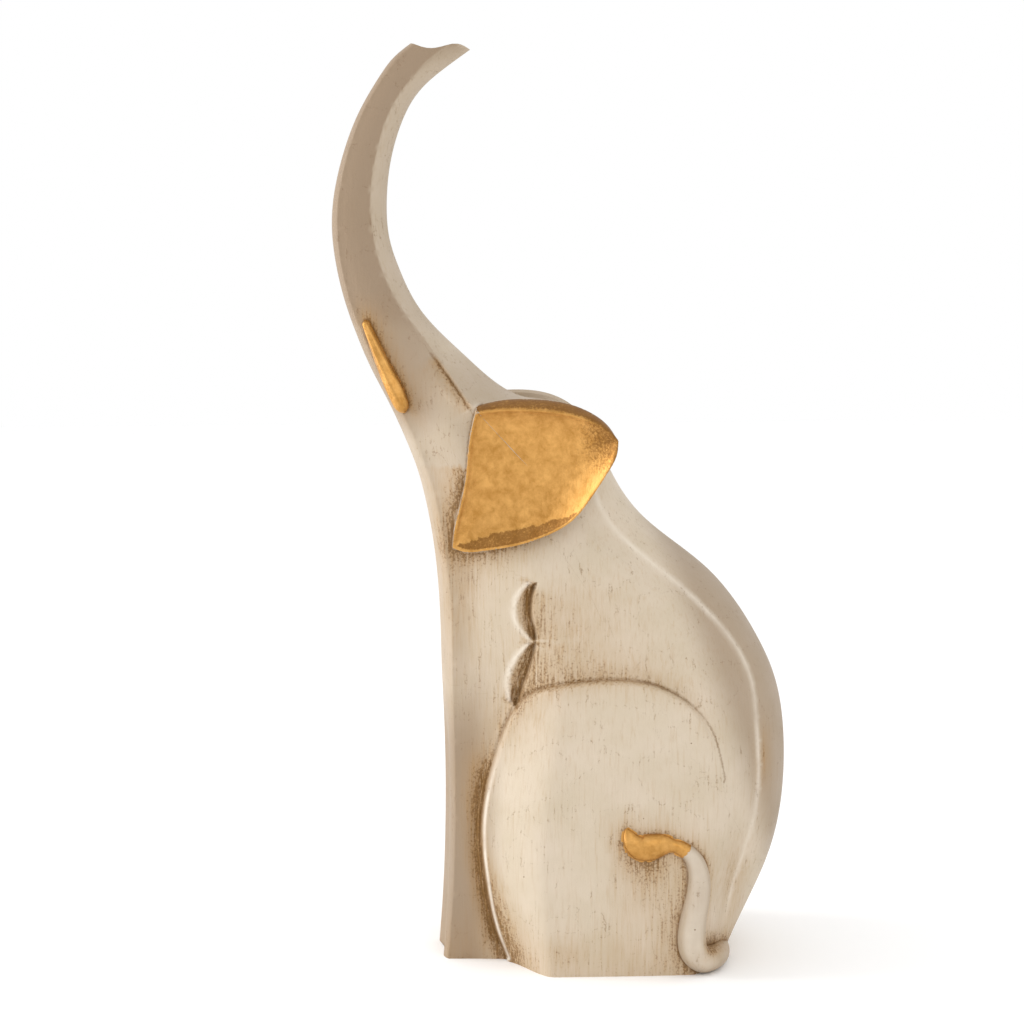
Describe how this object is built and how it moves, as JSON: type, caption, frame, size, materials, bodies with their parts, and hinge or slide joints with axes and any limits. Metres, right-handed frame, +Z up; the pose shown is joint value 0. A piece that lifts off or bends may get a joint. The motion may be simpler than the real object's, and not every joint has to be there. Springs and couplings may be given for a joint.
{
  "type": "elephant figurine",
  "caption": "Decorative figurine of a seated elephant with its trunk raised in a curve, broad flared ears and a curled tail, standing on a flat sole.",
  "frame": {"origin": "on the ground, in the middle of the figure's bounding box", "axes": "+Z up from the sole to the tip of the trunk; the elephant faces -X and its left side faces -Y"},
  "size_m": [0.1763, 0.1039, 0.35],
  "materials": {
    "ivory_resin": "cast resin painted ivory with a brown antique wash in the hollows, and gold paint on ears, tusks and tail tuft"
  },
  "bodies": {
    "root": {"elephant": "ivory_resin"}
  },
  "joints": []
}
